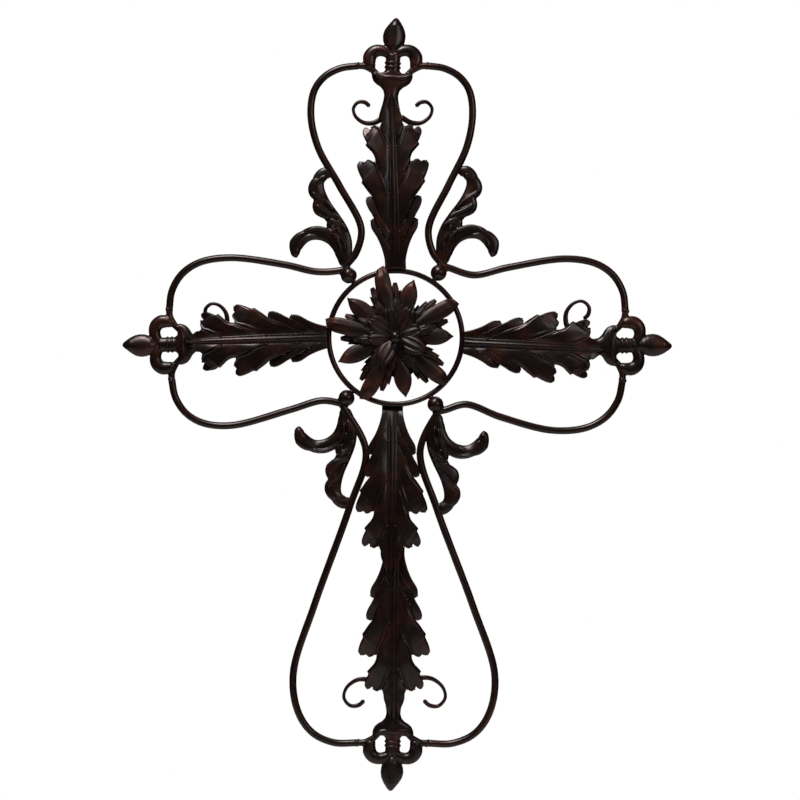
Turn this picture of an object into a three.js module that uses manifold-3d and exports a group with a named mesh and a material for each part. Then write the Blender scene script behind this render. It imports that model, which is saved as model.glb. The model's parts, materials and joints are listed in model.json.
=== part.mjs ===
// Wall cross of wrought iron: a round ring, eight bent rods, cast finials and corner scrolls,
// pressed acanthus leaves and a pressed rose.
// Millimetres. X is right, Z is up, the front faces -Y and the wall is the plane y = 0.
// The origin is on the back of the hanger, where the cross bears on the wall.
import * as THREE from "three";
import { mergeVertices } from "three/addons/utils/BufferGeometryUtils.js";
import Module from "manifold-3d";

const wasm = await Module();
wasm.setup();

const gap = 0.3; // weld seam between pieces that touch
const sheet = 1.4; // thickness of the pressed leaves and petals
const standOff = 10; // wall to the middle plane of the bars
const hangHeight = 168; // hanging point above the ring's centre
const rodBar = 8; // round bar of the scrolls
const ringBar = 6.4; // round bar of the ring
const ringRadius = 78.8; // to the middle of the ring's bar
const ballSize = 19;
const ballSides = 8;

// Reach runs from the ring's centre to the yoke of the arm's finial. Angles are counterclockwise from
// the right, seen from the front, and show the droop of the real arms. Curls are the sizes of the tendrils
// to the left and right of the arm, looking outwards. Crest is how far its rods rise past the horns. Sway
// is how far the finial sits to the left, and lean turns its foot further left, in degrees.
const arms = {
  top: { angle: 90, reach: 306, curls: [1, 1], crest: 0, sway: 3.3, lean: 3 },
  left: { angle: 182, reach: 251, curls: [0.65, 1], crest: 0, sway: -1, lean: 0 },
  right: { angle: 357.7, reach: 255, curls: [1.08, 0.68], crest: 0, sway: 1.5, lean: -3 },
  bottom: { angle: 269.6, reach: 464, curls: [1.33, 1.25], crest: 6, sway: 0, lean: 1 },
};

// Each corner's ball sits on the ring at this angle. Lean turns its scroll towards the upright.
const corners = {
  upper_left: { angle: 127, lean: 0 },
  upper_right: { angle: 56.3, lean: -2 },
  lower_left: { angle: 231, lean: 12 },
  lower_right: { angle: 300.8, lean: 10 },
};

// Bends of each hand-bent rod from its widest place inwards. The first number is a share of the way from
// the ring's centre to the horn, the second is the distance from the arm's axis.
const rods = [
  {
    arm: "top",
    corner: "upper_left",
    bends: [[0.82, 100], [0.7, 91.5], [0.56, 66.5], [0.4, 40.5], [0.31, 47]],
  },
  {
    arm: "top",
    corner: "upper_right",
    bends: [[0.82, 91], [0.7, 84], [0.56, 62.5], [0.4, 39], [0.31, 44.5]],
  },
  { arm: "left", corner: "upper_left", bends: [[0.72, 101], [0.48, 90.5], [0.34, 81]] },
  { arm: "left", corner: "lower_left", bends: [[0.74, 97], [0.48, 81], [0.34, 71.5]] },
  { arm: "right", corner: "upper_right", bends: [[0.73, 101], [0.48, 88], [0.33, 77.5]] },
  { arm: "right", corner: "lower_right", bends: [[0.7, 102], [0.47, 88.5], [0.32, 75.5]] },
  { arm: "bottom", corner: "lower_left", bends: [[0.83, 118], [0.66, 93.5], [0.42, 53], [0.28, 34]] },
  { arm: "bottom", corner: "lower_right", bends: [[0.83, 120], [0.66, 93.5], [0.42, 50], [0.28, 30]] },
];

// End finial. Heights run from the yoke towards the tip, widths from the arm's axis.
const finial = {
  length: 72,
  footDrop: 34,
  footHalf: 11,
  neckHalf: 7.7,
  yokeHalf: 24.5,
  collarHalf: 8,
  beads: [13.8, 19.9],
  beadSwell: 0.9,
  budFoot: 29,
  budHalf: 13.4,
  budDepth: 7.5,
  castDepth: 6.5,
  voluteTop: 40,
  voluteThick: 14.4,
  voluteReach: 36.4,
  hornRise: 15,
  hornReach: 41,
};

// Pressed acanthus leaf. Each lobe grows from its notch to its tip: [distance from the base, half width],
// as shares of the leaf's length and of its widest half.
const leaf = {
  length: 205,
  half: 40.5,
  neckHalf: 13.2,
  ribHalf: 2.7,
  ribHeight: 1.6,
  flute: 0.8,
  grooveDrop: 0.3,
  crown: 0.15,
  arch: 4,
  lobes: [
    { notch: [0.127, 0.37], tip: [0.244, 0.7] },
    { notch: [0.283, 0.6], tip: [0.39, 0.82] },
    { notch: [0.424, 0.6], tip: [0.615, 1] },
    { notch: [0.624, 0.5], tip: [0.81, 0.8] },
  ],
};

// Where each leaf lies on its arm. Start is the base edge's distance from the ring's centre, trim is cut
// off the base, and end is where the tip ends, as a share of the length. Shift is how far the base and
// the tip sit to the left of the axis, looking outwards. Front is how far the leaf's edge stands before
// the bars, at the base and at the tip. Climb under 1 brings the edge forward sooner. Bow shortens a leaf
// that is bent forward in its middle.
const ringOuter = ringRadius + ringBar / 2;
const overRing = ringBar / 2 + gap + sheet;
const overCasting = finial.castDepth + gap + sheet;
const underRing = -ringBar / 2 - gap - leaf.ribHeight - leaf.crown * leaf.neckHalf - 1;
const overRib = overRing + leaf.crown * leaf.neckHalf + leaf.ribHeight + leaf.arch + gap + sheet;
const lowerLeafStart = 247; // base of the lower leaf, where it covers the upper one's tip
const onTop = { start: ringOuter - 1.5, front: [overRing, overCasting], climb: 1 };
const leaves = [
  { name: "leaf_top", arm: "top", trim: 0, end: 0.99, bow: 1, shift: [0, 5], ...onTop },
  { name: "leaf_left", arm: "left", trim: 15, end: 0.91, bow: 0.97, shift: [-3, -3], ...onTop },
  { name: "leaf_right", arm: "right", trim: 15, end: 0.91, bow: 0.97, shift: [-3, -5], ...onTop },
  {
    name: "leaf_bottom_lower",
    arm: "bottom",
    trim: 0,
    end: 0.99,
    bow: 1,
    shift: [0, 1.5],
    ...onTop,
    start: lowerLeafStart,
  },
  {
    name: "leaf_bottom_upper",
    arm: "bottom",
    trim: 0,
    end: 0.99,
    bow: 1,
    shift: [-3, -3.5],
    start: ringOuter - 3.5,
    front: [underRing, overRib],
    climb: 0.5,
  },
];

// Tendrils of flat strip, measured back from the yoke and out from the arm's axis. They grow from the foot.
const tendril = {
  foot: -24,
  thick: 5.8,
  tipThick: 4.4,
  depth: 3,
  back: 1.5,
  route: [[-45, 9], [-52, 22], [-52, 34], [-44, 44.5], [-34.5, 46.3], [-27.5, 39.5], [-33, 29]],
};

// Corner scroll of cast acanthus, from the ball's centre: outward across, then outward up or down.
const scroll = {
  depth: 5,
  stem: [[5, 12], [6, 27], [9, 42], [16, 57], [28, 77], [35, 92], [38, 106], [33, 117], [25, 121], [16, 119]],
  stemHalf: [4, 10.3, 3],
  stemLobes: 3,
  stemLobe: 2.4,
  hook: [[8, 34], [22, 47], [42, 52], [59, 45], [66, 32], [62, 19]],
  hookHalf: [9, 8.6, 3.5],
  hookLobes: 2,
  hookLobe: 1.2,
};

// Hand-set angles of the rose's long and short petals and inner leaves
const long = [104, 171, 244, 315, 389];
const short = [70, 143, 205, 280, 359];
const inner = [58, 106, 153, 210, 243, 346];

// Layers of the rose from back to front. Rim is how far the petal's edge stands before the bars, at the
// hub and at the tip.
const rose = {
  hub: 14,
  button: 13,
  layers: [
    { name: "rose_back_leaves", turns: long, length: 64, half: 19, keel: 1.2, rim: [2, 2], teeth: 2 },
    { name: "rose_short_petals", turns: short, length: 73, half: 11.5, keel: 2.2, rim: [5, 4], teeth: 0 },
    { name: "rose_long_petals", turns: long, length: 85, half: 12, keel: 2.4, rim: [8.6, 5], teeth: 0 },
    { name: "rose_inner_leaves", turns: inner, length: 39, half: 12, keel: 2.4, rim: [12.4, 18], teeth: 1 },
  ],
};

// Folded keyhole plate behind the top leaf.
const hanger = { width: 24, above: 12, below: 26, plate: 2, hole: 9, slot: 4.8, slotTop: -5, holeDrop: -15 };

const paint = { roughness: 0.5, metalness: 0.4 };
const ironBrown = new THREE.MeshStandardMaterial({ color: 0x2a1d1a, ...paint });
const castBrown = new THREE.MeshStandardMaterial({ color: 0x33231d, ...paint });
const leafBrown = new THREE.MeshStandardMaterial({ color: 0x3b2620, ...paint });

const radians = THREE.MathUtils.degToRad;
const mix = THREE.MathUtils.lerp;

// Closed mesh to solid and back.
function solidOf(geometry) {
  const bare = geometry.clone();
  bare.deleteAttribute("normal");
  bare.deleteAttribute("uv");
  const merged = mergeVertices(bare, 1e-4);
  const index = merged.index.array;
  const corner = merged.attributes.position;
  const kept = [];
  let volume = 0;
  const [a, b, c] = [new THREE.Vector3(), new THREE.Vector3(), new THREE.Vector3()];
  for (let i = 0; i < index.length; i += 3) {
    const [p, q, r] = [index[i], index[i + 1], index[i + 2]];
    if (p === q || q === r || r === p) continue;
    kept.push(p, q, r);
    a.fromBufferAttribute(corner, p);
    b.fromBufferAttribute(corner, q);
    c.fromBufferAttribute(corner, r);
    volume += a.dot(b.cross(c));
  }
  if (volume < 0) kept.reverse();
  const vertProperties = new Float32Array(corner.array);
  return new wasm.Manifold(new wasm.Mesh({ numProp: 3, vertProperties, triVerts: new Uint32Array(kept) }));
}

function geometryOf(solid) {
  const { vertProperties, triVerts } = solid.getMesh();
  const geometry = new THREE.BufferGeometry();
  geometry.setAttribute("position", new THREE.BufferAttribute(new Float32Array(vertProperties), 3));
  geometry.setIndex(new THREE.BufferAttribute(new Uint32Array(triVerts), 1));
  geometry.computeVertexNormals();
  return geometry;
}

function meshOf(name, solid, material) {
  const mesh = new THREE.Mesh(geometryOf(solid), material.clone());
  mesh.name = name;
  return mesh;
}

// Skin through a row of sections. A station has an outline of points, across and forward, and a matrix
// that places it.
function loft(stations) {
  const around = stations[0].outline.length;
  const points = [];
  if (THREE.ShapeUtils.isClockWise(stations[0].outline)) {
    for (const { outline } of stations) outline.reverse();
  }
  for (const { outline, place } of stations) {
    for (const point of outline) points.push(new THREE.Vector3(point.x, point.y, 0).applyMatrix4(place));
  }
  const faces = [];
  for (let row = 0; row + 1 < stations.length; row += 1) {
    for (let column = 0; column < around; column += 1) {
      const near = row * around + column;
      const next = row * around + (column + 1) % around;
      faces.push(near, next, near + around, next, next + around, near + around);
    }
  }
  const last = points.length - around;
  for (const [p, q, r] of THREE.ShapeUtils.triangulateShape(stations[0].outline, [])) {
    faces.push(p, r, q);
  }
  for (const [p, q, r] of THREE.ShapeUtils.triangulateShape(stations.at(-1).outline, [])) {
    faces.push(last + p, last + q, last + r);
  }
  const geometry = new THREE.BufferGeometry().setFromPoints(points);
  geometry.setIndex(faces);
  return solidOf(geometry);
}

function curveThrough(points) {
  return new THREE.CatmullRomCurve3(points.map(([x, z]) => new THREE.Vector3(x, 0, z)), false, "centripetal");
}

// Sections at even steps of a flat curve. Across is to the left of travel, seen from the front.
function sweep(curve, steps, outlineAt) {
  const stations = [];
  for (let i = 0; i <= steps; i += 1) {
    const share = i / steps;
    const along = curve.getTangentAt(share);
    const across = new THREE.Vector3(-along.z, 0, along.x);
    const place = new THREE.Matrix4().makeBasis(across, new THREE.Vector3(0, -1, 0), along);
    place.setPosition(curve.getPointAt(share));
    stations.push({ outline: outlineAt(share), place });
  }
  return loft(stations);
}

function oval(half, depth, sides) {
  return Array.from({ length: sides }, (unused, i) => {
    const turn = (2 * Math.PI * i) / sides;
    return new THREE.Vector2(half * Math.cos(turn), depth * Math.sin(turn));
  });
}

// Three widths at the start, middle and end, joined by a smooth swell.
function swell([start, middle, end], share) {
  const ends = share < 0.5 ? start : end;
  return mix(ends, middle, Math.sin(Math.PI * share) ** 0.8);
}

function ballOf(size, sides) {
  return solidOf(new THREE.SphereGeometry(size / 2, sides, Math.round(sides * 0.6)));
}

// Points in the ring's frame, from an arm's axis or a corner's line.
function onRay(angle, along, left) {
  const turn = radians(angle);
  return [
    along * Math.cos(turn) - left * Math.sin(turn),
    along * Math.sin(turn) + left * Math.cos(turn),
  ];
}

const ballDistance = ringRadius + ringBar / 2 + gap + ballSize / 2;

// Rods
function rodCurve({ arm, corner, bends }) {
  const { angle, reach, crest, sway } = arms[arm];
  const cornerAngle = corners[corner].angle;
  const side = Math.sign(Math.sin(radians(cornerAngle - angle)));
  const start = reach + finial.hornRise;
  const onArm = (along, out) => onRay(angle, along, side * out);
  const atCorner = (radial, out) => onRay(cornerAngle, radial, -side * out);
  const points = [];
  const [widestShare, widest] = bends[0];
  const horn = finial.hornReach - gap + side * sway;
  for (const turn of [0, 22, 45, 68]) {
    const rise = crest * Math.sin(radians(2 * turn));
    const along = mix(widestShare * start, start, Math.cos(radians(turn)) ** 0.72) + rise;
    points.push(onArm(along, mix(horn, widest, Math.sin(radians(turn)))));
  }
  for (const [share, out] of bends) points.push(onArm(share * start, out));
  const ballTop = ballDistance + ballSize / 2;
  points.push(atCorner(ballTop + 2, rodBar * 0.75), atCorner(ballTop - 1.5, -rodBar * 0.4));
  return curveThrough(points);
}

function barAlong(curve, size, steps) {
  const section = new THREE.Shape().absarc(0, 0, size / 2, 0, 2 * Math.PI);
  const options = { steps, extrudePath: curve, curveSegments: 3, bevelEnabled: false };
  return solidOf(new THREE.ExtrudeGeometry(section, options));
}

// Block beside a line from the ring's centre, that trims what crosses the line.
function trimBlock(angle, along, near, side) {
  const block = new THREE.BoxGeometry(4 * ballSize, 4 * rodBar, 2 * ballSize);
  block.translate(along, 0, side * (near + ballSize));
  return solidOf(block.rotateY(-radians(angle)));
}

function rodSolid(rod, size) {
  const curve = rodCurve(rod);
  return barAlong(curve, size, Math.round(curve.getLength() / 40) + 2);
}

function makeRod(rod) {
  const cornerAngle = corners[rod.corner].angle;
  const { angle, reach, sway } = arms[rod.arm];
  const side = Math.sign(Math.sin(radians(cornerAngle - angle)));
  const [x, z] = onRay(cornerAngle, ballDistance, 0);
  const hornEnd = finial.hornReach + gap + side * sway;
  return rodSolid(rod, rodBar)
    .subtract(ballOf(ballSize + 2 * gap, ballSides).translate([x, 0, z]))
    .subtract(trimBlock(cornerAngle, ballDistance, -gap / 2, side))
    .subtract(trimBlock(angle, reach + finial.hornRise, hornEnd - 2 * ballSize, side));
}

// Corner scrolls
function scrollArm(points, halves, lobes, lobe, sides, steps) {
  return sweep(curveThrough(points), steps, (share) => {
    const half = swell(halves, share) + lobe * Math.abs(Math.sin(Math.PI * lobes * share));
    return oval(half, mix(scroll.depth, scroll.depth * 0.6, share), sides);
  });
}

function makeScroll(corner) {
  const { angle, lean } = corners[corner];
  const [x, z] = onRay(angle, ballDistance, 0);
  const across = Math.sign(x);
  const up = Math.sign(z);
  const placed = (points) => points.map(([u, v]) => {
    const [leanU, leanV] = onRay(lean, u, v);
    return [x + across * leanU, z + up * leanV];
  });
  const stem = scrollArm(placed(scroll.stem), scroll.stemHalf, scroll.stemLobes, scroll.stemLobe, 6, 9);
  const hook = scrollArm(placed(scroll.hook), scroll.hookHalf, scroll.hookLobes, scroll.hookLobe, 6, 6);
  let solid = stem.add(hook);
  for (const rod of rods) {
    if (rod.corner === corner) solid = solid.subtract(rodSolid(rod, rodBar + 2 * gap));
  }
  solid = solid.subtract(ballOf(ballSize + 2 * gap, ballSides).translate([x, 0, z]));
  return solid.decompose().sort((p, q) => q.volume() - p.volume())[0];
}

// Finials, with the arm pointing up
function turned(profile, sides, depth) {
  const geometry = new THREE.LatheGeometry(profile.map(([r, z]) => new THREE.Vector2(r, z)), sides);
  geometry.rotateX(Math.PI / 2);
  const position = geometry.attributes.position;
  for (let i = 0; i < position.count; i += 1) {
    const radius = Math.hypot(position.getX(i), position.getY(i));
    if (radius > depth) position.setY(i, position.getY(i) * depth / radius);
  }
  return solidOf(geometry);
}

function makeFinial(lean) {
  const f = finial;
  const bead = f.collarHalf + f.beadSwell;
  const [low, high] = f.beads;
  const beadGap = 2 * f.beadSwell;
  const body = turned([
    [0, -f.footDrop], [f.footHalf, -f.footDrop], [f.neckHalf, -22], [14, -9], [f.yokeHalf - 3, -5],
    [f.yokeHalf, 4], [f.collarHalf, 5], [f.collarHalf, low - beadGap], [bead, low],
    [f.collarHalf, (low + high) / 2], [bead, high], [0, f.budFoot + 4],
  ], 8, f.castDepth);
  const bud = turned([
    [0, f.budFoot], [f.budHalf * 0.85, f.length - 31], [f.budHalf, f.length - 22],
    [f.budHalf * 0.78, f.length - 13], [f.budHalf * 0.25, f.length - 2], [0, f.length],
  ], 8, f.budDepth);
  let solid = body.add(bud).translate([0, 0, -f.hornRise]).rotate([0, lean, 0]);
  solid = solid.translate([0, 0, f.hornRise]);
  for (const side of [1, -1]) {
    const beside = (route) => curveThrough(route.map(([out, up]) => [side * out, up]));
    const out = f.voluteReach - f.voluteThick / 2;
    const up = f.voluteTop - f.voluteThick / 2;
    const volute = beside([
      [0, f.budFoot], [8, up], [out * 0.62, up + 0.5], [out - 1.5, up - 4], [out, up - 11],
      [out - 5, up - 21],
    ]);
    solid = solid.add(sweep(volute, 6, (share) => {
      const taper = share < 0.7 ? mix(0.75, 1, share / 0.7) : mix(1, 0.2, (share - 0.7) / 0.3);
      const half = (f.voluteThick / 2) * taper;
      return oval(half, Math.min(f.castDepth, half), 6);
    }));
    const seam = f.hornReach;
    const horn = beside([[11, 1], [27, 12.5], [seam - 6, f.hornRise], [seam + 2, f.hornRise]]);
    const hornHalf = rodBar / 2;
    solid = solid.add(sweep(horn, 2, (share) => oval(mix(2, hornHalf, share), hornHalf, 6)));
    solid = solid.subtract(trimBlock(90, f.hornRise, f.hornReach, -side));
  }
  return solid;
}

// Leaves, with the arm pointing up and the base edge at z = 0
function leafRows({ trim, end }) {
  const neck = leaf.neckHalf / leaf.half;
  const rows = [[trim / leaf.length, neck + 0.01 * Math.sign(trim)]];
  if (trim === 0) rows.push([0.08, neck + 0.01]);
  for (const { notch, tip } of leaf.lobes) {
    for (const share of [0, 0.5, 1]) {
      const bulge = Math.sin(share * Math.PI / 2) ** 0.8;
      rows.push([mix(notch[0], tip[0], share), mix(notch[1], tip[1], bulge)]);
    }
  }
  return [...rows, [0.834, 0.35], [mix(0.834, end, 0.55), 0.25], [end, 0.08]];
}

// Front of the leaf over a place on it: the rib, the grooves beside it, the flutes and the drooping edge.
function leafFront({ trim, front, climb }, share, half, across) {
  const along = (share * leaf.length - trim) / (leaf.length - trim);
  const lift = mix(front[0], front[1], along ** climb) + leaf.arch * Math.sin(Math.PI * along);
  return lift + leaf.crown * half * (1 - across * across);
}

function leafSolid(spec, behind, before) {
  const stations = leafRows(spec).map(([share, width], row) => {
    const half = width * leaf.half;
    const flute = row % 3 === 0 ? leaf.flute : -leaf.flute;
    const rib = Math.min(0.5, leaf.ribHalf / half);
    const front = (across, lift) => (
      new THREE.Vector2(across * half, leafFront(spec, share, half, across) + lift + before));
    const back = (across) => (
      new THREE.Vector2(across * half, leafFront(spec, share, half, across) - sheet - behind));
    const groove = -leaf.grooveDrop;
    const outline = [
      front(-1, 0), front(-0.6, flute), front(-rib, groove), front(0, leaf.ribHeight), front(rib, groove),
      front(0.6, flute), front(1, 0), back(1), back(0), back(-1),
    ];
    const place = new THREE.Matrix4().makeBasis(
      new THREE.Vector3(1, 0, 0), new THREE.Vector3(0, -1, 0), new THREE.Vector3(0, 0, 1));
    place.setPosition(0, 0, (share * leaf.length - spec.trim) * spec.bow);
    return { outline, place };
  });
  const [base, tip] = spec.shift;
  const lean = THREE.MathUtils.radToDeg(Math.atan((tip - base) / (leaf.length - spec.trim)));
  return loft(stations).rotate([0, -lean, 0]).translate([-base, 0, spec.start]);
}

// Tendrils, with the arm pointing up
function makeTendril(arm, side) {
  const curl = arms[arm].curls[side < 0 ? 0 : 1];
  const { reach, sway } = arms[arm];
  const route = tendril.route.map(([along, out]) => (
    [side * out * curl - sway, reach + mix(tendril.foot, along, curl)]));
  const points = curveThrough(route);
  const solid = sweep(points, 6, (share) => {
    const half = mix(tendril.thick, tendril.tipThick, share) / 2;
    const depth = tendril.depth;
    return [[half, -depth], [half, depth], [-half, depth], [-half, -depth]]
      .map(([across, forward]) => new THREE.Vector2(across, forward));
  });
  return solid.translate([0, tendril.back, 0]);
}

// Rose layers, in the ring's frame
function petal(layer, margin) {
  const stations = [];
  const rows = 2 * layer.teeth + (layer.teeth ? 2 : 5);
  for (let i = 0; i <= rows; i += 1) {
    const share = i / rows;
    const plump = Math.sin(Math.PI * Math.min(1, 0.14 + 0.84 * share ** 1.4)) ** 0.7;
    const tooth = layer.teeth && i % 2 ? 0.86 : 1;
    const radius = mix(rose.hub * 0.8, layer.length, share);
    const room = radius * Math.tan(Math.PI / layer.turns.length) - gap;
    const half = Math.min(room, Math.max(0.8, layer.half * plump * tooth)) + margin;
    const floor = mix(layer.rim[0], layer.rim[1], share);
    const keel = layer.keel * Math.min(1, plump + 0.2);
    const outline = [
      new THREE.Vector2(-half, floor - margin),
      new THREE.Vector2(0, floor + (margin ? -margin : keel)),
      new THREE.Vector2(half, floor - margin),
      new THREE.Vector2(0, floor + keel + sheet + 4 * margin),
    ];
    const place = new THREE.Matrix4().makeBasis(
      new THREE.Vector3(1, 0, 0), new THREE.Vector3(0, -1, 0), new THREE.Vector3(0, 0, 1));
    place.setPosition(0, 0, radius);
    stations.push({ outline, place });
  }
  return loft(stations);
}

function roseLayer(layer, margin) {
  const disc = new THREE.CylinderGeometry(rose.hub, rose.hub, sheet + 2 * margin, 10);
  disc.translate(0, -layer.rim[0] - sheet / 2, 0);
  let solid = solidOf(disc);
  for (const turn of layer.turns) solid = solid.add(petal(layer, margin).rotate([0, 90 - turn, 0]));
  return solid;
}

// Hanger, in the ring's frame: a plate on the wall and two legs to the back of the top leaf
function makeHanger(leafRoom) {
  const tall = hanger.above + hanger.below;
  const middle = (hanger.above - hanger.below) / 2;
  const box = (wide, deep, high, x, y, z) => (
    solidOf(new THREE.BoxGeometry(wide, deep, high).translate(x, y, z)));
  let solid = box(hanger.width, hanger.plate, tall, 0, -hanger.plate / 2, middle);
  for (const side of [1, -1]) {
    const x = side * (hanger.width - hanger.plate) / 2;
    const deep = 3 * standOff;
    solid = solid.add(box(hanger.plate, deep, tall, x, -deep / 2, middle));
  }
  const hole = new THREE.CylinderGeometry(hanger.hole / 2, hanger.hole / 2, 3 * hanger.plate, 12);
  hole.translate(0, -hanger.plate / 2, hanger.holeDrop);
  const slotTall = hanger.slotTop - hanger.holeDrop;
  const slotMiddle = hanger.holeDrop + slotTall / 2;
  const slot = box(hanger.slot, 3 * hanger.plate, slotTall, 0, -hanger.plate / 2, slotMiddle);
  solid = solid.subtract(solidOf(hole)).subtract(slot);
  return solid.subtract(leafRoom.translate([0, -standOff, -hangHeight]));
}

const group = new THREE.Group();
const cross = new THREE.Group();
cross.position.set(0, -standOff, -hangHeight);
group.add(cross);

const hoop = new THREE.TorusGeometry(ringRadius, ringBar / 2, 6, 28).rotateX(Math.PI / 2);
cross.add(meshOf("ring", solidOf(hoop), ironBrown));

for (const rod of rods) {
  const half = rod.corner.split("_")[rod.arm === "top" || rod.arm === "bottom" ? 1 : 0];
  cross.add(meshOf(`rod_${rod.arm}_${half}`, makeRod(rod), ironBrown));
}

for (const [corner, { angle }] of Object.entries(corners)) {
  const ball = meshOf(`ball_${corner}`, ballOf(ballSize, ballSides), ironBrown);
  const [x, z] = onRay(angle, ballDistance, 0);
  ball.position.set(x, 0, z);
  cross.add(ball);
  cross.add(meshOf(`scroll_${corner}`, makeScroll(corner), castBrown));
}

const longPetals = rose.layers[2];
for (const [arm, { angle, reach, sway, lean }] of Object.entries(arms)) {
  const armGroup = new THREE.Group();
  armGroup.rotation.y = radians(90 - angle);
  const end = meshOf(`finial_${arm}`, makeFinial(lean), castBrown);
  end.position.set(-sway, 0, reach);
  armGroup.add(end);
  armGroup.add(meshOf(`tendril_${arm}_a`, makeTendril(arm, -1), ironBrown));
  armGroup.add(meshOf(`tendril_${arm}_b`, makeTendril(arm, 1), ironBrown));
  for (const spec of leaves) {
    if (spec.arm !== arm) continue;
    const petalRoom = roseLayer(longPetals, gap).rotate([0, angle - 90, 0]);
    armGroup.add(meshOf(spec.name, leafSolid(spec, 0, 0).subtract(petalRoom), leafBrown));
  }
  cross.add(armGroup);
}

for (const layer of rose.layers) cross.add(meshOf(layer.name, roseLayer(layer, 0), leafBrown));
const front = rose.layers.at(-1);
const button = meshOf("rose_button", ballOf(rose.button, 10), ironBrown);
button.position.y = -(front.rim[0] + sheet + gap + rose.button / 2);
cross.add(button);

const leafRoom = leafSolid(leaves[0], gap, 4 * standOff);
group.add(meshOf("hanger", makeHanger(leafRoom), ironBrown));

export default group;
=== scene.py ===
import json
import math

import bmesh
import bpy
from mathutils import Matrix, Vector, noise

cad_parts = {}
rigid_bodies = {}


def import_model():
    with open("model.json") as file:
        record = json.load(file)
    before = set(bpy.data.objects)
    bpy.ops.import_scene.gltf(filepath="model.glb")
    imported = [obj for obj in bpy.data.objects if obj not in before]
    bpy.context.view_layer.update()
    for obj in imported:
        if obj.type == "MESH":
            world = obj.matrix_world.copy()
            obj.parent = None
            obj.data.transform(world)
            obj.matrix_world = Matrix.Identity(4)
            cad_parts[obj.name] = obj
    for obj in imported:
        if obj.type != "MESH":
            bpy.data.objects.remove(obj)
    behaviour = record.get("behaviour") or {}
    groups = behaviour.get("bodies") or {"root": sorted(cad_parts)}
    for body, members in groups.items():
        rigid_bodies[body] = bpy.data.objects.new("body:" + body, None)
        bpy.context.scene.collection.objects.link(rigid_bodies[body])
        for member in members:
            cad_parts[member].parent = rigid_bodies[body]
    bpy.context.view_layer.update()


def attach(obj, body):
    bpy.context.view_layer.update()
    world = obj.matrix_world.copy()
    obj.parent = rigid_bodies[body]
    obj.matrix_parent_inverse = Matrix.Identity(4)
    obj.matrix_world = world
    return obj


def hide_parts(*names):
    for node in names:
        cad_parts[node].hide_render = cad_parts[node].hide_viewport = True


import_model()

# A wrought iron wall cross. Sizes are in millimetres and become metres when a piece is finished.
# The front faces -Y, and the wall is the plane y = 0.
mmToM = 0.001
standOff = 10  # wall to the middle plane of the bars
hangHeight = 168  # hanging point above the ring's centre
ringMiddle = Vector((0, -standOff, -hangHeight))

# Reach runs from the ring's centre to the yoke of the arm's finial, and angles turn left from the right.
# Curls are the sizes of the tendrils to the left and right of the arm, looking outwards. Sway is how far
# the finial sits to the left, and lean turns its foot further left, in degrees. A corner's lean turns its
# scroll, in degrees.
arms = {
    "top": {"angle": 90, "reach": 306, "curls": (1, 1), "crest": 0, "sway": 3.3, "lean": 3},
    "left": {"angle": 182, "reach": 251, "curls": (0.65, 1), "crest": 0, "sway": -1, "lean": 0},
    "right": {"angle": 357.7, "reach": 255, "curls": (1.08, 0.68), "crest": 0, "sway": 1.5, "lean": -3},
    "bottom": {"angle": 269.6, "reach": 464, "curls": (1.33, 1.25), "crest": 6, "sway": 0, "lean": 1},
}
corners = {
    "upper_left": {"angle": 127, "lean": 0},
    "upper_right": {"angle": 56.3, "lean": -2},
    "lower_left": {"angle": 231, "lean": 12},
    "lower_right": {"angle": 300.8, "lean": 10},
}


def mix(low, high, share):
    return low + (high - low) * share


def ease(low, high, value):
    share = min(1, max(0, (value - low) / (high - low)))
    return share * share * (3 - 2 * share)


def between(table, value):
    for (x0, y0), (x1, y1) in zip(table, table[1:]):
        if value <= x1:
            return mix(y0, y1, min(1, max(0, (value - x0) / (x1 - x0))))
    return table[-1][1]


def onRay(angle, along, left):
    turn = math.radians(angle)
    return Vector((along * math.cos(turn) - left * math.sin(turn), 0,
                   along * math.sin(turn) + left * math.cos(turn)))


def armPlace(angle):
    return Matrix.Translation(ringMiddle) @ Matrix.Rotation(math.radians(90 - angle), 4, "Y")


# Even steps on a centripetal Catmull-Rom curve through given points
def smoothRoute(points, steps):
    points = [Vector(p) for p in points]
    points = [2 * points[0] - points[1]] + points + [2 * points[-1] - points[-2]]
    fine = []
    for p0, p1, p2, p3 in zip(points, points[1:], points[2:], points[3:]):
        t1 = max(1e-4, (p1 - p0).length) ** 0.5
        t2 = t1 + max(1e-4, (p2 - p1).length) ** 0.5
        t3 = t2 + max(1e-4, (p3 - p2).length) ** 0.5
        for i in range(24):
            t = mix(t1, t2, i / 24)
            a1 = p0.lerp(p1, t / t1)
            a2 = p1.lerp(p2, (t - t1) / (t2 - t1))
            a3 = p2.lerp(p3, (t - t2) / (t3 - t2))
            b1 = a1.lerp(a2, t / t2)
            b2 = a2.lerp(a3, (t - t1) / (t3 - t1))
            fine.append(b1.lerp(b2, (t - t1) / (t2 - t1)))
    fine.append(points[-2])
    lengths = [0]
    for p, q in zip(fine, fine[1:]):
        lengths.append(lengths[-1] + (q - p).length)
    route = []
    place = 0
    for i in range(steps + 1):
        wanted = lengths[-1] * i / steps
        while place < len(fine) - 2 and lengths[place + 1] < wanted:
            place += 1
        share = (wanted - lengths[place]) / max(1e-6, lengths[place + 1] - lengths[place])
        route.append(fine[place].lerp(fine[place + 1], min(1, share)))
    return route


# Paint
def linear(colour):
    channels = [int(colour[i:i + 2], 16) / 255 for i in (1, 3, 5)]
    return [c / 12.92 if c <= 0.04045 else ((c + 0.055) / 1.055) ** 2.4 for c in channels] + [1]


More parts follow.
